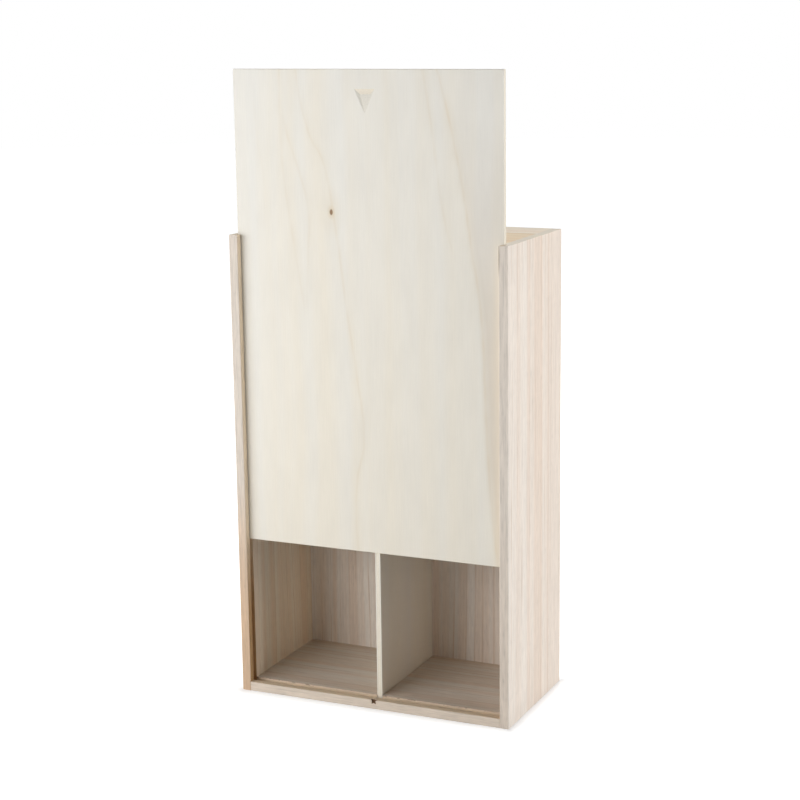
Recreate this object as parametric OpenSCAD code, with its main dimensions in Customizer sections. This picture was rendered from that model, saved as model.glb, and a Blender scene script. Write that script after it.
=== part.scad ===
// Upright wooden box with two bays and a front lid that slides up out of its grooves.
// X runs across the front, Y from front to back, Z up.
// The origin is the middle of the footprint, on the surface that the box stands on.

/* [Box] */
// Width over both side boards
box_w = 218; // [180:1:300]
// Depth from the front edges to the outer face of the back panel
box_d = 110; // [90:1:160]
// Height of the side boards
box_h = 350; // [280:1:420]

/* [Boards] */
// Thickness of the side boards
side_t = 7; // [6:0.5:12]
// Thickness of the top and bottom boards
end_t = 7; // [6:0.5:12]
// Thickness of the back panel
back_t = 5; // [3:0.5:8]
// How deep the back panel is let into the side boards
rebate_depth = 3; // [2:0.5:4]
// How far the floor stands above the lip in front of it
floor_step = 0.8; // [0:0.1:2]
// Bevel sanded along the long edges of the boards
edge_bevel = 0.4; // [0.2:0.1:0.8]

/* [Divider] */
// Thickness of the divider
divider_t = 4; // [3:0.5:6]
// How far the divider stands to the right of the middle
divider_x = 2.2; // [-10:0.1:10]
// How deep the divider is housed in the top and bottom boards
housing_depth = 2.5; // [1.5:0.5:4]
// Play in the housings, all to the right of the divider
housing_play = 0.5; // [0.1:0.1:1]
// Step from the lid groove back to the divider's front edge
divider_setback = 0.5; // [0.3:0.1:3]

/* [Lid] */
// Thickness of the lid
lid_t = 4; // [3:0.5:6]
// How far the shut lid stands above the rim
lid_proud = 4.3; // [0:0.1:10]
// How far the lid is drawn up from its shut place
lid_raise = 115; // [0:1:230]
// Bevel along the lid's top and bottom edges
lid_bevel = 0.5; // [0.2:0.1:1]

/* [Lid grooves] */
// Wood left in front of the grooves
lip_t = 5; // [4:0.5:8]
// Depth of the grooves in the side boards
side_groove = 3; // [2:0.5:4]
// Depth of the groove in the bottom board
foot_groove = 3; // [2:0.5:4]
// Play in front of the lid and behind it
lid_play = 0.3; // [0.2:0.1:0.6]
// Play beside each edge of the lid
side_play = 0.8; // [0.3:0.1:1.5]
// Gap under the shut lid
foot_play = 0.3; // [0.2:0.1:1]

/* [Thumb notch] */
// Width of the notch along its top edge
notch_w = 16; // [11:0.5:20]
// Height of the notch down to its point
notch_h = 17.5; // [12:0.5:20]
// Depth of the notch at its deepest line
notch_depth = 1.2; // [0.8:0.1:2.4]
// Height of the upper slope, above the deepest line
notch_brow = 4; // [2:0.5:5]
// Length of the deepest line
notch_floor_w = 8; // [3:0.5:9]
// Distance from the lid's top edge down to the notch
notch_drop = 13.5; // [8:0.5:40]

/* [Broken knot] */
// Reach of the broken knot's points
knot_r = 3.2; // [1.5:0.1:4]
// Depth of the broken knot
knot_depth = 2.1; // [0.5:0.1:2.5]
// How far the broken knot is to the right of the middle
knot_x = 1.7; // [-60:0.1:60]

/* [Hidden] */

front_y = -box_d / 2;
back_y = box_d / 2;
panel_y = back_y - back_t;
groove_w = lid_t + 2 * lid_play;
groove_front_y = front_y + lip_t;
groove_back_y = groove_front_y + groove_w;
inner_x = box_w / 2 - side_t;
floor_z = end_t + floor_step;
ceiling_z = box_h - end_t;

lid_w = 2 * (inner_x + side_groove - side_play);
lid_y = groove_front_y + lid_play;
lid_shut_z = end_t - foot_groove + foot_play;
lid_z = lid_shut_z + lid_raise;
lid_len = box_h + lid_proud - lid_shut_z;

knot_points = 5;
knot_tilt = 50;
cut_over = 1;

// Outline of the right side board seen from above: lid groove, back rebate, bevelled edges
module side_outline() {
    outer_x = box_w / 2;
    groove_x = inner_x + side_groove;
    rebate_x = inner_x + rebate_depth;
    polygon([
        [inner_x + edge_bevel, front_y],
        [outer_x - edge_bevel, front_y],
        [outer_x, front_y + edge_bevel],
        [outer_x, back_y - edge_bevel],
        [outer_x - edge_bevel, back_y],
        [rebate_x, back_y],
        [rebate_x, panel_y],
        [inner_x, panel_y],
        [inner_x, groove_back_y],
        [groove_x, groove_back_y],
        [groove_x, groove_front_y],
        [inner_x, groove_front_y],
        [inner_x, front_y + edge_bevel]
    ]);
}

module side_board() {
    linear_extrude(box_h) side_outline();
}

// Stands an outline, drawn with Y to the back and Z up, and runs it across the width
module across(width) {
    rotate([90, 0, 90]) linear_extrude(width, center = true) children();
}

// Section of the bottom board: lip, lid groove and the floor, which stands a little above the lip
module bottom_section() {
    polygon([
        [front_y + edge_bevel, 0],
        [panel_y, 0],
        [panel_y, floor_z],
        [groove_back_y, floor_z],
        [groove_back_y, end_t - foot_groove],
        [groove_front_y, end_t - foot_groove],
        [groove_front_y, end_t],
        [front_y + edge_bevel, end_t],
        [front_y, end_t - edge_bevel],
        [front_y, edge_bevel]
    ]);
}

// Section of the top board, which stops short of the lid so that the lid can pass in front
module top_section() {
    polygon([
        [groove_back_y, ceiling_z],
        [panel_y, ceiling_z],
        [panel_y, box_h],
        [groove_back_y + edge_bevel, box_h],
        [groove_back_y, box_h - edge_bevel]
    ]);
}

// Section of the lid, bevelled at both ends so that it finds its groove
module lid_section() {
    top_z = lid_z + lid_len;
    rear_y = lid_y + lid_t;
    polygon([
        [lid_y + lid_bevel, lid_z],
        [rear_y - lid_bevel, lid_z],
        [rear_y, lid_z + lid_bevel],
        [rear_y, top_z - lid_bevel],
        [rear_y - lid_bevel, top_z],
        [lid_y + lid_bevel, top_z],
        [lid_y, top_z - lid_bevel],
        [lid_y, lid_z + lid_bevel]
    ]);
}

// Slot in an end board that the divider is housed in, from the lid groove to the back panel
module housing_cut(low_z) {
    translate([divider_x - divider_t / 2, groove_back_y - cut_over, low_z])
        cube([
            divider_t + housing_play,
            panel_y - groove_back_y + 2 * cut_over,
            housing_depth + cut_over
        ]);
}

// Star of broken grain, seen square on, around the origin
module star_outline() {
    step = 180 / knot_points;
    polygon([
        for (i = [0 : 2 * knot_points - 1])
            (i % 2 == 0 ? knot_r : knot_r / 2) * [cos(90 + i * step), sin(90 + i * step)]
    ]);
}

// Pit left by the knot on the upper front edge of the bottom board, sunk in at a slant
module knot_pit() {
    translate([knot_x, front_y, end_t])
        rotate([knot_tilt, 0, 0])
            translate([0, 0, -knot_depth])
                linear_extrude(knot_depth + knot_r) star_outline();
}

// Thumb notch around the middle of its top edge, cut into a face that looks along -Y
module notch_cut() {
    corners = [[-notch_w / 2, 0], [notch_w / 2, 0], [0, -notch_h]];
    deep_x = notch_floor_w / 2;
    polyhedron(
        points = [
            [corners[0][0], 0, corners[0][1]],
            [corners[1][0], 0, corners[1][1]],
            [corners[2][0], 0, corners[2][1]],
            [-deep_x, notch_depth, -notch_brow],
            [deep_x, notch_depth, -notch_brow]
        ],
        faces = [[0, 1, 2], [0, 3, 4, 1], [0, 2, 3], [1, 4, 2], [2, 4, 3]]
    );
    rotate([90, 0, 0]) linear_extrude(cut_over) polygon(corners);
}

module left_side() {
    color("#dccab6") mirror([1, 0, 0]) side_board();
}

module right_side() {
    color("#e7dcd0") side_board();
}

module bottom_board() {
    color("#c8beb2")
        difference() {
            across(2 * inner_x) bottom_section();
            housing_cut(floor_z - housing_depth);
            knot_pit();
        }
}

module top_board() {
    color("#d8c4aa")
        difference() {
            across(2 * inner_x) top_section();
            housing_cut(ceiling_z - cut_over);
        }
}

module back_panel() {
    panel_w = 2 * (inner_x + rebate_depth);
    color("#e1d6c5") translate([-panel_w / 2, panel_y, 0]) cube([panel_w, back_t, box_h]);
}

module divider() {
    divider_y = groove_back_y + divider_setback;
    low_z = floor_z - housing_depth;
    divider_h = ceiling_z + housing_depth - low_z;
    color("#d7d2c6")
        translate([divider_x - divider_t / 2, divider_y, low_z])
            cube([divider_t, panel_y - divider_y, divider_h]);
}

module lid() {
    color("#e5e1d7")
        difference() {
            across(lid_w) lid_section();
            translate([0, lid_y, lid_z + lid_len - notch_drop]) notch_cut();
        }
}

left_side();
right_side();
bottom_board();
top_board();
back_panel();
divider();
lid();
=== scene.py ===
import math

import bpy
import numpy as np
from mathutils import Euler, Matrix, Vector


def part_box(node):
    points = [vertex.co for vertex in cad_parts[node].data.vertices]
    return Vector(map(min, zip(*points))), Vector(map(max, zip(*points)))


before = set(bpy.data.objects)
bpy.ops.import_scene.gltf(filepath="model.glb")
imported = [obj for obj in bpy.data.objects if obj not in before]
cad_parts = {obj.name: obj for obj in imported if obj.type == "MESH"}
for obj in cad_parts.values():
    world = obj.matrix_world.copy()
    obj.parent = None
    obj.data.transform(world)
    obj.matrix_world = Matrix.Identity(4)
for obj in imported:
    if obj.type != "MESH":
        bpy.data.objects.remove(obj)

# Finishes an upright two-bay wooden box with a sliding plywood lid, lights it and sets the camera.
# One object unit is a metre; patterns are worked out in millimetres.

bl_info = {
    "name": "Sliding Lid Box Finish",
    "version": (1, 0, 0),
    "blender": (4, 5, 0),
    "location": "3D View > Sidebar > Box",
    "description": "Paulownia and plywood finishes, stage and camera for a box with a sliding lid",
    "category": "Object",
}

MM = 1000.0

# Sizes that patterns are placed by, in millimetres: the box, the reach of the lid's growth lines
# along and across it, and the middle of a panel's thickness and half of its core veneer
HALF_WIDTH = 109.0
HALF_DEPTH = 55.0
BOARD_LENGTH = 350.0
GROWTH_SPAN = 210.0
PLY_MIDDLE = 2.0
HALF_CORE = 1.0

# Half size of a mark that goes right through a board, in mm
RIGHT_THROUGH = 1000.0

# How far the ring pattern jumps past a glue joint, in mm, because that strip is from another plank
OTHER_PLANK = 137.0

# What an open pore adds to the wood's brightness
PORE_SHADE = -0.08

# Bare wood, whichever kind
WOOD_IOR = 1.45

FLOOR_CORNERS = 48
WHITE = "#FFFFFF"

# Turns that bring object space to board space: X along the grain, Y across it, Z through the board
GRAIN_UP_WIDTH_BACK = (0.0, math.pi / 2, 0.0)
GRAIN_UP_WIDTH_RIGHT = (math.pi / 2, 0.0, math.pi / 2)
GRAIN_RIGHT = (0.0, 0.0, 0.0)


def linear(hex_colour):
    """sRGB hex to the linear colour that a shader takes."""
    shares = [int(hex_colour[i:i + 2], 16) / 255 for i in (1, 3, 5)]
    return tuple(s / 12.92 if s <= 0.04045 else ((s + 0.055) / 1.055) ** 2.4
                 for s in shares) + (1.0,)


def colour(name, description, hex_colour):
    """A colour that a user would change."""
    return bpy.props.FloatVectorProperty(
        name=name, description=description, subtype="COLOR", size=4, min=0.0, max=1.0,
        default=linear(hex_colour))


def length(name, description, mm):
    """A size that a user would change, given in millimetres."""
    return bpy.props.FloatProperty(
        name=name, description=description, subtype="DISTANCE", unit="LENGTH", default=mm / MM)


class PaulowniaColours(bpy.types.PropertyGroup):
    """Colours of the solid boards"""
    pale: colour("Early wood", "Palest wood between the stripes", "#EDE4DA")
    stripe: colour("Late wood", "Peach wood in the stripes", "#E6D4C4")
    line: colour("Ring line", "Thin line where a year ends", "#D3BCA6")
    end: colour("End grain", "Cut ends of the boards", "#E1D6C1")
    edge: colour("Sawn edge", "Narrow edges, greyer than the faces", "#DAD0C4")
    lip: colour("Bottom lip", "Front edge of the bottom board", "#E1D2C1")
    groove: colour("Side grooves", "Rough wood in the side boards' grooves and behind their lips",
                   "#EFDCC0")
    sill: colour("Bottom groove", "Rough wood in the bottom board's groove and on its lip",
                 "#E2CDB1")
    pit: colour("Broken knot", "Inside of the knot broken out of the bottom board", "#6A4C33")


class PlywoodColours(bpy.types.PropertyGroup):
    """Colours of the lid and the divider"""
    face: colour("Face veneer", "Pale veneer of the lid and divider", "#E8E5DD")
    warm: colour("Warm veneer", "Creamy bands in the veneer", "#EAE3D4")
    growth: colour("Growth line", "Tan line where a year ends, and the glue between the plies",
                   "#D6C3A0")
    # Partly painted shade: it also darkens the lid beside its right lip, below the rim
    older_wood_and_lip_shade: colour("Older wood", "Darker wood past the strongest growth line", "#CDBEAB")
    core: colour("Core veneer", "Middle ply, seen at the edges and in the notch", "#EEE6D5")
    cut: colour("Cut slope", "Side and lower slopes of the thumb notch", "#E6E1D5")
    brow: colour("Upper slope", "Upper slope of the thumb notch", "#ECE3D1")
    knot: colour("Knot", "Small tight knot in the lid", "#8A6A48")


class StageSizes(bpy.types.PropertyGroup):
    """Where the camera stands, the floor and the room light"""
    azimuth: bpy.props.FloatProperty(
        name="Azimuth", description="How far round to the right the camera stands",
        subtype="ANGLE", default=0.42513)
    elevation: bpy.props.FloatProperty(
        name="Elevation", description="How far above the horizon the camera stands",
        subtype="ANGLE", default=0.20568)
    roll: bpy.props.FloatProperty(
        name="Roll", description="How far the camera is tipped", subtype="ANGLE",
        default=-0.01351)
    distance: length(
        "Distance", "From the middle of the footprint to the camera, along its axis", 1456.79)
    right: length(
        "Aim right", "How far to the right of the footprint's middle the camera aims", -1.464)
    up: length("Aim up", "How far above the footprint's middle the camera aims", 219.337)
    lens: bpy.props.FloatProperty(
        name="Lens", description="Focal length on a 36 mm wide sensor, in millimetres",
        default=85.09)
    floor: length("Floor radius", "Reach of the round floor", 6000.0)
    sky: bpy.props.FloatProperty(
        name="Room light", description="Level of the even light from all round", default=0.06)


def add(tree, kind, *inputs, stops=(), **settings):
    """Adds one node. Lower-case settings are its properties and capitalised ones its named
    sockets, inputs fill its live sockets in order, and stops (x, y) shape its curve."""
    made = tree.nodes.new("ShaderNode" + kind)
    named = {}
    for key, value in settings.items():
        if key[0].isupper():
            named[key.replace("_", " ")] = value
        else:
            setattr(made, key, value)
    live = [socket for socket in made.inputs if socket.enabled]
    pairs = [(live[i], value) for i, value in enumerate(inputs)]
    pairs += [(next(s for s in live if s.name == key), value) for key, value in named.items()]
    for socket, value in pairs:
        if isinstance(value, bpy.types.Node):
            value = next(s for s in value.outputs if s.enabled)
        if isinstance(value, bpy.types.NodeSocket):
            tree.links.new(value, socket)
        else:
            socket.default_value = value
    if stops:
        points = made.mapping.curves[0].points
        while len(points) < len(stops):
            points.new(1.0, 1.0)
        for point, place in zip(points, stops):
            point.location = place
        made.mapping.extend = "HORIZONTAL"
        made.mapping.update()
    return made


def new_finish(name):
    """An empty material and its node tree."""
    finish = bpy.data.materials.new(name)
    finish.use_nodes = True
    finish.node_tree.nodes.clear()
    return finish, finish.node_tree


def give(finish, name):
    """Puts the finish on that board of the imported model."""
    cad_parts[name].material_slots[0].material = finish


def board_space(tree, turn, start=(0.0, 0.0, 0.0)):
    """A point in board space in mm from start, its places along, across and through the board,
    and how far the surface there looks along, across and through it."""
    space = add(tree, "TexCoord")
    turned = add(tree, "Mapping", space.outputs["Object"], Rotation=turn, Scale=(MM, MM, MM))
    mm = add(tree, "VectorMath", turned, start, operation="SUBTRACT")
    facing = add(tree, "Mapping", space.outputs["Normal"], vector_type="NORMAL", Rotation=turn)
    return mm, add(tree, "SeparateXYZ", mm).outputs, add(tree, "SeparateXYZ", facing).outputs


def flecks(tree, mm, size, shift, **settings):
    """Noise with flecks of that size, in mm along, across and through the board. The shift, in
    flecks, makes each board's noise its own."""
    stretched = add(tree, "VectorMath", mm, [1 / side for side in size], shift,
                    operation="MULTIPLY_ADD")
    return add(tree, "TexNoise", stretched, Scale=1.0, **settings)


def inside_strip(tree, across, through, width, depth):
    """1 inside a strip that runs along the board. Its width and depth are each a middle and a
    half size, across the board and through it, in mm."""
    return add(tree, "Math", add(tree, "Math", across, *width, operation="COMPARE"),
               add(tree, "Math", through, *depth, operation="COMPARE"), operation="MULTIPLY")


def spread(tree, mm, middle, half_sizes):
    """Distance from the middle of an oval mark, which is 1 on the mark's rim."""
    off = add(tree, "VectorMath", mm, middle, operation="SUBTRACT")
    off = add(tree, "VectorMath", off, half_sizes, operation="DIVIDE")
    return add(tree, "VectorMath", off, operation="LENGTH").outputs["Value"]


def tinted(tree, wood, share, tint):
    """The wood's colour times the tint, where share is 1, and unchanged where it is 0."""
    part = add(tree, "Mix", share, linear(WHITE), linear(tint), data_type="RGBA")
    return add(tree, "VectorMath", wood, part, operation="MULTIPLY")


def paulownia(name, turn, seed, joint, tone=WHITE, strip=WHITE, foot=WHITE, front_foot=WHITE,
              edge=None, bands=(), rings=(), groove=(), torn=(), pit=(), resin=()):
    """Solid paulownia, planed and fine sanded, bare: pale with straight peach stripes and thin
    ring lines, short open pores along the grain, darker ends, greyer edges and next to no shine.

    joint is where two strips of the board are glued edge to edge, in mm across the grain.
    tone tints its faces up to the joint and strip past it, foot the lower end of its faces, and
    front_foot the lower half of its front edge. edge is the colour of its narrow edges.
    bands are listed stripes (place, paleness) over the box's depth, and rings the places of listed
    ring lines, in mm across the grain.
    groove is what is sawn rough: its middle and half width across the board, the same through it,
    its colour, and the tint at its foot, which is painted shade where the groove lies deep below
    the lid.
    torn is an arris with torn grain: its middle and half width across the board, and through it.
    pit is the middle of a broken knot, and resin the middle and half sizes of a resin streak."""
    colours = bpy.context.scene.box_boards
    finish, tree = new_finish(name)
    mm, (along, across, depth), lean = board_space(tree, turn)
    through = add(tree, "Math", depth, operation="ABSOLUTE")

    # Rings: across the grain, leaning a little through the board, wandering 5 mm over its length
    drift = add(tree, "VectorMath", mm, (1 / 260, 1 / 70, 1 / 70), (seed, seed * 1.7, 3.1),
                operation="MULTIPLY_ADD")
    wander = add(tree, "TexNoise", drift, Scale=1.0, Detail=1.0)
    sway = add(tree, "Math", wander, 12.0, -6.0, operation="MULTIPLY_ADD")
    tilt = add(tree, "Math", depth, 0.6, across, operation="MULTIPLY_ADD")
    ring = add(tree, "Math", tilt, sway, operation="ADD")
    past_joint = add(tree, "Math", across, joint, operation="GREATER_THAN")
    ring = add(tree, "Math", past_joint, OTHER_PLANK, ring, operation="MULTIPLY_ADD")

    # Stripes about 13 mm wide with narrower ones, 3.2 mm wide, in them
    wide = add(tree, "TexNoise", noise_dimensions="1D", Scale=1.0, Detail=1.0,
               W=add(tree, "Math", ring, 1 / 13, seed, operation="MULTIPLY_ADD"))
    narrow = add(tree, "TexNoise", noise_dimensions="1D", Scale=1.0, Detail=2.0,
                 W=add(tree, "Math", ring, 1 / 3.2, seed * 2, operation="MULTIPLY_ADD"))
    paleness = add(tree, "MapRange", wide, From_Min=0.35, From_Max=0.65)
    if bands:
        share = add(tree, "MapRange", across, From_Min=-HALF_DEPTH, From_Max=HALF_DEPTH)
        placed = add(tree, "FloatCurve", 1.0, share, stops=bands)
        paleness = add(tree, "Mix", 0.8, paleness, placed)
    paleness = add(tree, "Math", paleness, 0.35, operation="SUBTRACT")
    paleness = add(tree, "Math", narrow, 0.7, paleness, operation="MULTIPLY_ADD", use_clamp=True)
    wood = add(tree, "Mix", paleness, colours.stripe, colours.pale, data_type="RGBA")

    # Ring lines about 9 mm apart and under 1 mm wide, that fade in and out along the board
    cells = add(tree, "TexVoronoi", voronoi_dimensions="1D", feature="DISTANCE_TO_EDGE",
                W=add(tree, "Math", ring, 1 / 9, seed, operation="MULTIPLY_ADD"),
                Scale=1.0, Randomness=1.0)
    lines = add(tree, "MapRange", cells, From_Max=0.09, To_Min=1.0, To_Max=0.0)
    bent = add(tree, "Math", sway, 0.2, across, operation="MULTIPLY_ADD")
    for place in rings:
        off = add(tree, "Math", bent, place, operation="SUBTRACT")
        off = add(tree, "Math", off, operation="ABSOLUTE")
        drawn = add(tree, "MapRange", off, From_Min=0.2, From_Max=0.7, To_Min=0.9, To_Max=0.0)
        lines = add(tree, "Math", lines, drawn, operation="MAXIMUM")
    fade = add(tree, "MapRange", add(tree, "TexNoise", drift, Scale=4.0, Detail=1.0),
               From_Min=0.4, From_Max=0.65, To_Min=0.1, To_Max=0.75)
    lines = add(tree, "Math", lines, fade, operation="MULTIPLY")
    # The glue joint, 0.8 mm wide
    seam = add(tree, "Math", add(tree, "Math", across, joint, 0.4, operation="COMPARE"), 0.6,
               operation="MULTIPLY")
    for mark in (lines, seam):
        wood = add(tree, "Mix", mark, wood, colours.line, data_type="RGBA")

    # Fibre streaks 1 mm by 30 mm, dashes 1.5 mm by 10 mm, soft mottle and coarse fibre. The pores
    # are drawn 0.5 mm by 7 mm, twice as coarse as the real ones, which are too fine to show
    streaks = flecks(tree, mm, (30.0, 1.0, 1.0), (0.0, seed, 0.0), Detail=3.0, Roughness=0.6)
    dashes = flecks(tree, mm, (10.0, 1.5, 1.5), (seed, seed, 0.0), Detail=1.0)
    pores = flecks(tree, mm, (7.0, 0.5, 0.5), (seed, 0.0, 0.0), Detail=0.0)
    mottle = flecks(tree, mm, (80.0, 22.0, 22.0), (seed * 3, 0.0, 0.0), Detail=2.0)
    coarse = flecks(tree, mm, (35.0, 2.2, 2.2), (0.0, 0.0, seed), Detail=2.0, Roughness=0.6)
    open_pores = add(tree, "MapRange", pores, From_Min=0.62, From_Max=0.74)
    shade = add(tree, "MapRange", streaks, From_Min=0.2, From_Max=0.8, To_Min=0.94, To_Max=1.06)
    dash = add(tree, "MapRange", dashes, From_Min=0.3, From_Max=0.7, To_Min=0.965, To_Max=1.035)
    shade = add(tree, "Math", shade, dash, operation="MULTIPLY")
    cloud = add(tree, "MapRange", mottle, From_Min=0.25, From_Max=0.75, To_Min=0.97, To_Max=1.03)
    blur = add(tree, "MapRange", coarse, From_Min=0.2, From_Max=0.8, To_Min=0.96, To_Max=1.04)
    level = add(tree, "Math", shade, add(tree, "Math", cloud, blur, operation="MULTIPLY"),
                operation="MULTIPLY")
    level = add(tree, "Math", open_pores, PORE_SHADE, level, operation="MULTIPLY_ADD")
    wood = add(tree, "VectorMath", wood, level, operation="MULTIPLY")

    tint = add(tree, "Mix", past_joint, linear(tone), linear(strip), data_type="RGBA")
    wood = add(tree, "VectorMath", wood, tint, operation="MULTIPLY")
    low = add(tree, "MapRange", along, From_Min=30.0, From_Max=260.0, To_Min=1.0, To_Max=0.0,
              interpolation_type="SMOOTHSTEP")
    wood = tinted(tree, wood, low, foot)

    # Narrow edges, with dark fibres and pores; the tint at the foot is gone by half the height
    fibre = add(tree, "MapRange", coarse, From_Min=0.25, From_Max=0.75, To_Min=0.9, To_Max=1.09)
    fibre = add(tree, "Math", fibre, shade, operation="MULTIPLY")
    dark_fibre = add(tree, "MapRange", streaks, From_Min=0.34, From_Max=0.46, To_Min=0.91)
    fibre = add(tree, "Math", fibre, dark_fibre, operation="MULTIPLY")
    fibre = add(tree, "Math", open_pores, PORE_SHADE, fibre, operation="MULTIPLY_ADD")
    edge_tint = add(tree, "VectorMath", (edge or colours.edge)[:3], fibre, operation="MULTIPLY")
    height_share = add(tree, "MapRange", along, From_Max=BOARD_LENGTH)
    low_front = add(tree, "FloatCurve", 1.0, height_share,
                    stops=((0.0, 1.0), (0.13, 0.96), (0.35, 0.57), (0.41, 0.3), (0.47, 0.0)))
    low_front = add(tree, "Math", low_front, add(tree, "Math", across, 0.0, operation="LESS_THAN"),
                    operation="MULTIPLY")
    edge_tint = tinted(tree, edge_tint, low_front, front_foot)
    at_edge = add(tree, "MapRange", add(tree, "Math", lean[1], operation="ABSOLUTE"),
                  From_Min=0.6, From_Max=0.85, To_Max=0.85)
    wood = add(tree, "Mix", at_edge, wood, edge_tint, data_type="RGBA")

    # Cut ends, speckled by the cut fibres
    speckle = add(tree, "MapRange", add(tree, "TexNoise", mm, Scale=1.4, Detail=2.0),
                  From_Min=0.25, From_Max=0.75, To_Min=0.9, To_Max=1.08)
    end_tint = add(tree, "Mix", paleness, colours.end, colours.edge, data_type="RGBA")
    end_tint = add(tree, "VectorMath", end_tint, speckle, operation="MULTIPLY")
    at_end = add(tree, "MapRange", add(tree, "Math", lean[0], operation="ABSOLUTE"),
                 From_Min=0.5, From_Max=0.8)
    wood = add(tree, "Mix", at_end, wood, end_tint, data_type="RGBA")

    if groove:
        sawn_width, sawn_depth, sawn_colour, sawn_foot_shade = groove
        # Painted shade: the groove turns darker and browner towards its foot, below the lid
        lowest_shade = add(tree, "MapRange", along, From_Min=60.0, From_Max=140.0, To_Min=1.0,
                     To_Max=0.0, interpolation_type="SMOOTHSTEP")
        rough = add(tree, "VectorMath", sawn_colour[:3], fibre, operation="MULTIPLY")
        rough = tinted(tree, rough, lowest_shade, sawn_foot_shade)
        sawn = inside_strip(tree, across, through, sawn_width, sawn_depth)
        wood = add(tree, "Mix", sawn, wood, rough, data_type="RGBA")
    if torn:
        # Chips 5 mm by 2 mm
        chips = flecks(tree, mm, (5.0, 2.0, 2.0), (seed, 0.0, 0.0), Detail=2.0)
        chips = add(tree, "MapRange", chips, From_Min=0.58, From_Max=0.66, To_Max=0.75)
        torn_tint = add(tree, "Mix", chips, colours.line, colours.pit, data_type="RGBA")
        tear = add(tree, "Math", inside_strip(tree, across, through, *torn), 0.7,
                   operation="MULTIPLY")
        wood = add(tree, "Mix", tear, wood, torn_tint, data_type="RGBA")
    if resin:
        dark = add(tree, "MapRange", spread(tree, mm, *resin), From_Min=0.6, To_Min=0.75,
                   To_Max=0.0)
        wood = add(tree, "Mix", dark, wood, colours.pit, data_type="RGBA")
    if pit:
        # Dark only below the board's own faces, with a tan rim on the faces round it
        away = add(tree, "VectorMath", mm, pit, operation="DISTANCE").outputs["Value"]
        behind = add(tree, "MapRange", across, From_Min=pit[1] + 0.1, From_Max=pit[1] + 0.5)
        below = add(tree, "MapRange", depth, From_Min=pit[2] - 0.1, From_Max=pit[2] - 0.5)
        near = add(tree, "MapRange", away, From_Min=3.6, From_Max=4.2, To_Min=1.0, To_Max=0.0)
        rim = add(tree, "MapRange", away, From_Min=2.5, From_Max=4.6, To_Min=0.45, To_Max=0.0)
        dark = add(tree, "Math", add(tree, "Math", behind, below, operation="MULTIPLY"), near,
                   operation="MULTIPLY")
        wood = add(tree, "Mix", rim, wood, colours.line, data_type="RGBA")
        wood = add(tree, "Mix", dark, wood, colours.pit, data_type="RGBA")

    height = add(tree, "Math", open_pores, -1.0, streaks, operation="MULTIPLY_ADD")
    relief = add(tree, "Bump", Strength=0.35, Distance=0.2 / MM, Height=height)
    polish = add(tree, "MapRange", streaks, To_Min=0.58, To_Max=0.74)
    shader = add(tree, "BsdfPrincipled", wood, Roughness=polish, IOR=WOOD_IOR, Normal=relief)
    add(tree, "OutputMaterial", shader)
    return finish


class BOX_OT_side_boards(bpy.types.Operator):
    """Finish the left and right side boards as paulownia with upright grain"""
    bl_idname = "box.side_boards"
    bl_label = "Side Boards"

    def execute(self, context):
        # The right board's stripes and ring lines, from its front edge to its back edge
        bands = ((0.0, 0.95), (0.13, 0.85), (0.17, 0.65), (0.21, 0.65), (0.24, 0.9), (0.33, 0.85),
                 (0.36, 0.3), (0.39, 0.35), (0.42, 0.85), (0.46, 0.7), (0.49, 0.15), (0.61, 0.1),
                 (0.65, 0.5), (0.71, 0.55), (0.75, 0.3), (0.79, 0.45), (1.0, 0.5))
        # Sawn rough: the groove, 102 to 105 mm from the middle of the box, and all behind the lip.
        # Its foot, below the lid, is darkened and browned as painted shade
        groove = ((-50.0, 4.7), (103.5, 1.6), context.scene.box_boards.groove, "#D2B99A")
        give(paulownia("paulownia_planed_right", GRAIN_UP_WIDTH_BACK, 11.3, 27.5,
                       front_foot="#FFFAF6", bands=bands, rings=(-27.5, -12.0, -5.7, 12.0),
                       groove=groove, resin=((342.0, -54.6, -102.0), (14.0, 1.2, 1.0))),
             "right_side")
        give(paulownia("paulownia_planed_left", GRAIN_UP_WIDTH_BACK, 4.7, -12.0,
                       foot="#FDF6E9", front_foot="#F3D7BB", groove=groove),
             "left_side")
        return {"FINISHED"}


class BOX_OT_end_boards(bpy.types.Operator):
    """Finish the top and bottom boards as paulownia with the grain from side to side"""
    bl_idname = "box.end_boards"
    bl_label = "Top and Bottom Boards"

    def execute(self, context):
        boards = context.scene.box_boards
        # The bottom board's tone is greyer wood and also about a tenth darker, which is painted
        # shade inside the bays
        give(paulownia("paulownia_planed_bottom", GRAIN_RIGHT, 7.9, 24.0, tone="#EDECE9",
                       strip="#EDECE9", edge=boards.lip,
                       groove=((-50.0, 4.7), (5.5, 1.6), boards.sill, WHITE),
                       torn=((-45.1, 0.5), (7.5, 0.6)), pit=(1.7, -55.0, 7.0)),
             "bottom_board")
        give(paulownia("paulownia_planed_top", GRAIN_RIGHT, 2.2, 20.0, tone="#F6ECD5",
                       strip="#FDFCF4"),
             "top_board")
        return {"FINISHED"}


class BOX_OT_back_panel(bpy.types.Operator):
    """Finish the back panel as paulownia with upright grain"""
    bl_idname = "box.back_panel"
    bl_label = "Back Panel"

    def execute(self, context):
        give(paulownia("paulownia_planed_back", GRAIN_UP_WIDTH_RIGHT, 15.1, -31.0), "back_panel")
        return {"FINISHED"}


def growth_line(tree, along, across, points):
    """How far a point is past a growth line, in mm across the board. The line runs through the
    points (along, across), in mm."""
    share = add(tree, "Math", along, 1 / BOARD_LENGTH, operation="MULTIPLY")
    path = add(tree, "FloatCurve", 1.0, share,
               stops=[(a / BOARD_LENGTH, c / GROWTH_SPAN + 0.5) for a, c in points])
    place = add(tree, "Math", path, GROWTH_SPAN, -GROWTH_SPAN / 2, operation="MULTIPLY_ADD")
    return add(tree, "Math", across, place, operation="SUBTRACT")


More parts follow.
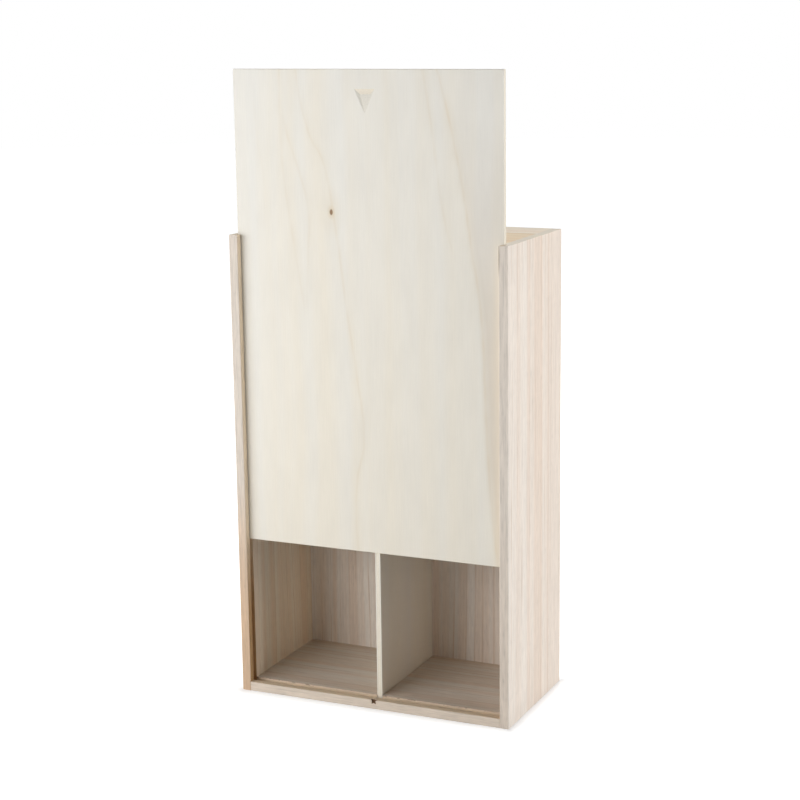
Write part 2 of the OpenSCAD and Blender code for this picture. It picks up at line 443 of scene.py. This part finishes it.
def plywood(name, turn, seed, start, growth=(), knots=()):
    """Three-ply poplar plywood, sanded and bare: smooth cream face veneer with a fine upright
    fibre, faint tan growth lines, a cream core between two tan glue lines at its edges, and a
    soft low shine.

    start is the panel's corner in board space, in mm. growth lines are (strength, how much darker
    the wood past the line is, partly an older tone and partly painted shade from the lid's right
    lip, its points), and knots are (middle, half sizes)."""
    colours = bpy.context.scene.box_plywood
    finish, tree = new_finish(name)
    mm, (along, across, depth), lean = board_space(tree, turn, start)

    # Creamy bands about 26 mm wide, creamier towards the foot
    wander = flecks(tree, mm, (160.0, 50.0, 50.0), (seed, 0.0, 0.0), Detail=1.0)
    ring = add(tree, "Math", wander, 14.0, across, operation="MULTIPLY_ADD")
    wide = add(tree, "TexNoise", noise_dimensions="1D", Scale=1.0, Detail=2.0,
               W=add(tree, "Math", ring, 1 / 26, seed, operation="MULTIPLY_ADD"))
    creamy = add(tree, "MapRange", wide, From_Min=0.3, From_Max=0.7, To_Min=-0.3, To_Max=0.5)
    low = add(tree, "MapRange", along, From_Max=BOARD_LENGTH, To_Min=0.75, To_Max=0.15)
    creamy = add(tree, "Math", creamy, low, operation="ADD", use_clamp=True)
    wood = add(tree, "Mix", creamy, colours.face, colours.warm, data_type="RGBA")

    # Growth lines that fade over 6 mm to their right and 12 mm to their left, drawn unevenly
    broken = flecks(tree, mm, (22.0, 6.0, 6.0), (0.0, seed, 0.0), Detail=1.0)
    for strength, darker, points in growth:
        off = growth_line(tree, along, across, points)
        near = add(tree, "MapRange", off, From_Min=-12.0, From_Max=6.0)
        near = add(tree, "FloatCurve", 1.0, near,
                   stops=((0.0, 0.0), (0.45, 0.2), (0.61, 0.5), (0.67, 1.0), (0.73, 0.6),
                          (0.84, 0.25), (1.0, 0.0)))
        drawn = add(tree, "MapRange", broken, From_Min=0.35, From_Max=0.65,
                    To_Min=0.5 * strength, To_Max=1.2 * strength)
        first, last = points[0][0], points[-1][0]
        if first > 0:
            begun = add(tree, "MapRange", along, From_Min=first, From_Max=first + 30)
            near = add(tree, "Math", near, begun, operation="MULTIPLY")
        if last < BOARD_LENGTH:
            unended = add(tree, "MapRange", along, From_Min=last - 15, From_Max=last, To_Min=1.0,
                          To_Max=0.0)
            near = add(tree, "Math", near, unended, operation="MULTIPLY")
        near = add(tree, "Math", near, drawn, operation="MULTIPLY")
        wood = add(tree, "Mix", near, wood, colours.growth, data_type="RGBA")
        # Past the line, lower down, the wood is darker: partly an older tan tone, partly painted
        # shade of the right lip
        if darker:
            past = add(tree, "MapRange", off, From_Min=-3.0, From_Max=4.0, To_Max=darker)
            lower_part_shade = add(tree, "MapRange", along, From_Min=160.0, From_Max=320.0, To_Min=1.0,
                             To_Max=0.0)
            older_wood_and_lip_shade = add(tree, "Math", past, lower_part_shade, operation="MULTIPLY")
            wood = add(tree, "Mix", older_wood_and_lip_shade, wood, colours.older_wood_and_lip_shade, data_type="RGBA")

    # Each knot is brown, in a tan halo with a fainter, wider one round it
    for knot in knots:
        away = spread(tree, mm, *knot)
        core = add(tree, "MapRange", away, From_Min=0.7, From_Max=1.15, To_Min=1.0, To_Max=0.0)
        halo = add(tree, "MapRange", away, From_Min=0.9, From_Max=2.6, To_Min=0.4, To_Max=0.0)
        wider = add(tree, "MapRange", away, From_Min=1.0, From_Max=9.0, To_Min=0.17, To_Max=0.0)
        halo = add(tree, "Math", halo, wider, operation="ADD")
        wood = add(tree, "Mix", halo, wood, colours.growth, data_type="RGBA")
        wood = add(tree, "Mix", core, wood, colours.knot, data_type="RGBA")

    # Soft clouds, and fibre drawn 0.9 mm by 24 mm, because the real fibre is too fine to show
    fibre = flecks(tree, mm, (24.0, 1 / 1.1, 1 / 1.1), (seed, 0.0, 0.0), Detail=3.0,
                   Roughness=0.6)
    clouds = flecks(tree, mm, (40.0, 14.0, 14.0), (seed, 0.0, seed), Detail=3.0)
    shade = add(tree, "MapRange", fibre, From_Min=0.2, From_Max=0.8, To_Min=0.975, To_Max=1.025)
    cloud = add(tree, "MapRange", clouds, From_Min=0.3, From_Max=0.7, To_Min=0.98, To_Max=1.02)
    shade = add(tree, "Math", shade, cloud, operation="MULTIPLY")
    wood = add(tree, "VectorMath", wood, shade, operation="MULTIPLY")

    # The core veneer, 1 mm under either face, and the glue lines on both sides of it
    deep = add(tree, "Math", depth, PLY_MIDDLE, operation="SUBTRACT")
    deep = add(tree, "Math", deep, operation="ABSOLUTE")
    in_core = add(tree, "MapRange", deep, From_Min=HALF_CORE - 0.05, From_Max=HALF_CORE + 0.05,
                  To_Min=1.0, To_Max=0.0)
    cross = add(tree, "TexNoise", mm, Scale=1.2, Detail=2.0)
    cross_shade = add(tree, "MapRange", cross, From_Min=0.25, From_Max=0.75, To_Min=0.93,
                      To_Max=1.05)
    core_tint = add(tree, "VectorMath", colours.core[:3], cross_shade, operation="MULTIPLY")
    wood = add(tree, "Mix", in_core, wood, core_tint, data_type="RGBA")
    glue = add(tree, "Math", add(tree, "Math", deep, HALF_CORE, 0.09, operation="COMPARE"), 0.7,
               operation="MULTIPLY")
    wood = add(tree, "Mix", glue, wood, colours.growth, data_type="RGBA")

    # Slopes cut into the front face: greyer, peach where they look down, and darker where deeper,
    # which is painted shade in the notch
    sunk = add(tree, "MapRange", depth, From_Min=0.03, From_Max=0.1)
    flat = add(tree, "Math", add(tree, "Math", lean[2], operation="ABSOLUTE"), 0.8,
               operation="GREATER_THAN")
    cut = add(tree, "Math", sunk, flat, operation="MULTIPLY")
    in_front = add(tree, "Math", depth, 3.0, operation="LESS_THAN")
    cut = add(tree, "Math", cut, in_front, operation="MULTIPLY")
    looks_down = add(tree, "Math", lean[0], -0.1, operation="LESS_THAN")
    slope_tint = add(tree, "Mix", looks_down, colours.cut, colours.brow, data_type="RGBA")
    slope_shade = add(tree, "MapRange", cross, From_Min=0.25, From_Max=0.75, To_Min=0.94,
                      To_Max=1.06)
    # Painted shade: the deeper the slope lies in the notch, the darker
    hollow_shade = add(tree, "MapRange", depth, From_Max=1.2, To_Min=1.0, To_Max=0.91)
    for darkening in (slope_shade, hollow_shade):
        slope_tint = add(tree, "VectorMath", slope_tint, darkening, operation="MULTIPLY")
    wood = add(tree, "Mix", cut, wood, slope_tint, data_type="RGBA")

    # Sanding has rounded the slopes and the front bevels, so they shade as if they leaned less
    bevel = add(tree, "Math", lean[2], -math.sqrt(0.5), 0.05, operation="COMPARE")
    rounding = add(tree, "Math", add(tree, "Math", cut, 0.85, operation="MULTIPLY"),
                   add(tree, "Math", bevel, 0.6, operation="MULTIPLY"), operation="MAXIMUM")
    face = add(tree, "VectorTransform", (0.0, -1.0, 0.0), vector_type="NORMAL",
               convert_from="OBJECT", convert_to="WORLD")
    sanded = add(tree, "Mix", rounding, add(tree, "NewGeometry").outputs["Normal"], face,
                 data_type="VECTOR")
    relief = add(tree, "Bump", Strength=0.25, Distance=0.1 / MM, Height=fibre,
                 Normal=add(tree, "VectorMath", sanded, operation="NORMALIZE"))
    shader = add(tree, "BsdfPrincipled", wood, Roughness=0.55, IOR=WOOD_IOR, Normal=relief)
    add(tree, "OutputMaterial", shader)
    return finish


class BOX_OT_divider(bpy.types.Operator):
    """Finish the divider as sanded plywood"""
    bl_idname = "box.divider"
    bl_label = "Divider"

    def execute(self, context):
        low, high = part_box("divider")
        give(plywood("poplar_plywood_divider", GRAIN_UP_WIDTH_BACK, 3.4,
                     (low.z * MM, low.y * MM, -high.x * MM)), "divider")
        return {"FINISHED"}


class BOX_OT_lid(bpy.types.Operator):
    """Finish the lid as sanded plywood with its growth lines and knot"""
    bl_idname = "box.lid"
    bl_label = "Lid"

    def execute(self, context):
        low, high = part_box("lid")
        # The first line's 0.5 darkens the wood to its right, lower down: older tone and painted
        # shade of the right lip
        growth = (
            (0.28, 0.5, ((0, 99), (60, 93), (114, 90), (180, 87), (227, 80), (277, 72),
                          (319, 63), (350, 55))),
            (0.16, 0.0, ((215, 69), (250, 59), (283, 54), (308, 51), (350, 44))),
            (0.19, 0.0, ((0, -11), (54, -11), (82, -5), (132, -10), (179, -17), (240, -25),
                         (286, -34), (304, -44), (350, -54))),
            (0.14, 0.0, ((170, -50), (204, -55), (242, -61), (282, -66), (350, -67))),
            (0.15, 0.0, ((175, -50), (221, -47), (250, -46), (275, -52), (305, -62), (325, -66))),
            (0.07, 0.0, ((230, -82), (274, -82), (301, -86), (330, -88))),
        )
        knot = ((249.3, -27.7, PLY_MIDDLE), (2.2, 1.3, RIGHT_THROUGH))
        give(plywood("poplar_plywood_lid", GRAIN_UP_WIDTH_RIGHT, 8.8,
                     (low.z * MM, 0.0, low.y * MM), growth, (knot,)), "lid")
        return {"FINISHED"}


def floor_mesh(radius):
    """A flat round floor: points at (r cos a, r sin a, 0) for radii r and angles a on a grid,
    closed at its middle."""
    angles = np.linspace(0.0, 2 * math.pi, FLOOR_CORNERS, endpoint=False)
    rim = np.stack([radius * np.cos(angles), radius * np.sin(angles), np.zeros_like(angles)],
                   axis=1)
    points = np.vstack([np.zeros((1, 3)), rim])
    step = np.arange(FLOOR_CORNERS)
    faces = np.stack([np.zeros_like(step), 1 + step, 1 + (step + 1) % FLOOR_CORNERS], axis=1)
    mesh = bpy.data.meshes.new("floor")
    mesh.from_pydata(points.tolist(), [], faces.tolist())
    return mesh


def shows_white(tree):
    """1 where the eye sees the surface, straight on, mirrored or through glass, and 0 for light."""
    seen = add(tree, "LightPath").outputs
    mirrored = add(tree, "Math", seen["Is Camera Ray"], seen["Is Glossy Ray"],
                   operation="MAXIMUM")
    return add(tree, "Math", mirrored, seen["Is Transmission Ray"], operation="MAXIMUM")


def floor_finish():
    """White studio floor, matt: it glows to the eye alone, so that it looks white. Within 1 m of
    the box, where the lamps light it, it glows a little less. Within 10 mm it glows much less, and
    least on the right, so that the box's shadow shows there; this dip in the glow is also painted
    shade round the box's foot."""
    finish, tree = new_finish("white_studio_sweep")
    matt = add(tree, "BsdfDiffuse", linear("#DADADA"))
    place = add(tree, "TexCoord").outputs["Object"]
    outside = add(tree, "VectorMath", add(tree, "VectorMath", place, operation="ABSOLUTE"),
                  (HALF_WIDTH / MM, HALF_DEPTH / MM, 0.0), operation="SUBTRACT")
    outside = add(tree, "VectorMath", outside, (0.0, 0.0, 0.0), operation="MAXIMUM")
    gap = add(tree, "VectorMath", outside, operation="LENGTH").outputs["Value"]
    # Painted shade: the glow dips beside the box, most on its right, over the real shadow
    beside = add(tree, "Math", add(tree, "SeparateXYZ", place).outputs[0], HALF_WIDTH / MM,
                 operation="GREATER_THAN")
    painted_shade_glow = add(tree, "Math", beside, -0.22, 0.42, operation="MULTIPLY_ADD")
    near = add(tree, "MapRange", gap, From_Max=0.01, To_Min=painted_shade_glow, To_Max=0.8)
    far = add(tree, "MapRange", gap, From_Min=0.1, From_Max=1.0, To_Max=0.2)
    level = add(tree, "Math", near, far, operation="ADD")
    level = add(tree, "Math", shows_white(tree), level, operation="MULTIPLY")
    glow = add(tree, "Emission", linear(WHITE), level)
    add(tree, "OutputMaterial", add(tree, "AddShader", matt, glow))
    return finish


def lamp(name, place, target, size, power):
    """A rectangular soft light at place that looks at target, all in metres."""
    light = bpy.data.lights.new(name, "AREA")
    light.shape = "RECTANGLE"
    light.size, light.size_y = size
    light.energy = power
    made = bpy.data.objects.new(name, light)
    made.location = place
    made.rotation_euler = (Vector(target) - Vector(place)).to_track_quat("-Z", "Y").to_euler()
    bpy.context.scene.collection.objects.link(made)


class BOX_OT_stage(bpy.types.Operator):
    """Lay the white floor, hang the lamps and set the camera"""
    bl_idname = "box.stage"
    bl_label = "Stage"

    def execute(self, context):
        scene = context.scene
        sizes = scene.box_stage

        floor = bpy.data.objects.new("floor", floor_mesh(sizes.floor))
        floor.data.materials.append(floor_finish())
        scene.collection.objects.link(floor)

        world = bpy.data.worlds.new("white_room")
        world.use_nodes = True
        tree = world.node_tree
        tree.nodes.clear()
        level = add(tree, "MapRange", shows_white(tree), To_Min=sizes.sky, To_Max=1.0)
        add(tree, "OutputWorld", add(tree, "Background", linear(WHITE), level))
        scene.world = world

        lamp("key", place=(-0.7, -0.93, 0.35), target=(0.0, -0.05, 0.24), size=(1.2, 0.8),
             power=13.4)
        lamp("right", place=(1.5, 0.1, 0.52), target=(0.1, 0.0, 0.2), size=(0.8, 1.0), power=15.2)
        lamp("top", place=(0.0, 0.95, 1.75), target=(0.0, 0.0, 0.3), size=(0.9, 0.9), power=18.2)

        # The camera's own directions: right, up, and back from what it looks at
        back = Vector((math.sin(sizes.azimuth) * math.cos(sizes.elevation),
                       -math.cos(sizes.azimuth) * math.cos(sizes.elevation),
                       math.sin(sizes.elevation)))
        right = Vector((math.cos(sizes.azimuth), math.sin(sizes.azimuth), 0.0))
        up = back.cross(right)
        roll = Euler((0.0, 0.0, sizes.roll)).to_matrix()
        turn = Matrix((right, up, back)).transposed() @ roll
        camera = bpy.data.objects.new("camera", bpy.data.cameras.new("camera"))
        camera.data.lens = sizes.lens
        camera.data.sensor_width = 36.0
        camera.data.clip_end = 100.0
        camera.location = turn @ Vector((sizes.right, sizes.up, sizes.distance))
        camera.rotation_euler = turn.to_euler()
        scene.collection.objects.link(camera)
        scene.camera = camera
        scene.view_settings.view_transform = "Standard"
        return {"FINISHED"}


class BOX_PT_finish(bpy.types.Panel):
    """Colours and steps for the box"""
    bl_idname = "BOX_PT_finish"
    bl_label = "Box"
    bl_space_type = "VIEW_3D"
    bl_region_type = "UI"
    bl_category = "Box"

    def draw(self, context):
        for name in GROUPS:
            group = getattr(context.scene, name)
            for key in group.__annotations__:
                self.layout.prop(group, key)
        for operator in STEPS:
            self.layout.operator(operator.bl_idname)


GROUPS = {"box_boards": PaulowniaColours, "box_plywood": PlywoodColours, "box_stage": StageSizes}
STEPS = (BOX_OT_side_boards, BOX_OT_end_boards, BOX_OT_back_panel, BOX_OT_divider, BOX_OT_lid,
         BOX_OT_stage)
CLASSES = (*GROUPS.values(), *STEPS, BOX_PT_finish)


def register():
    for kind in CLASSES:
        bpy.utils.register_class(kind)
    for name, group in GROUPS.items():
        setattr(bpy.types.Scene, name, bpy.props.PointerProperty(type=group))


def unregister():
    for name in GROUPS:
        delattr(bpy.types.Scene, name)
    for kind in reversed(CLASSES):
        bpy.utils.unregister_class(kind)


def main():
    """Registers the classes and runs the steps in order."""
    register()
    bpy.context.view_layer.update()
    for operator in STEPS:
        area, name = operator.bl_idname.split(".")
        getattr(getattr(bpy.ops, area), name)()


if __name__ == "__main__":
    main()
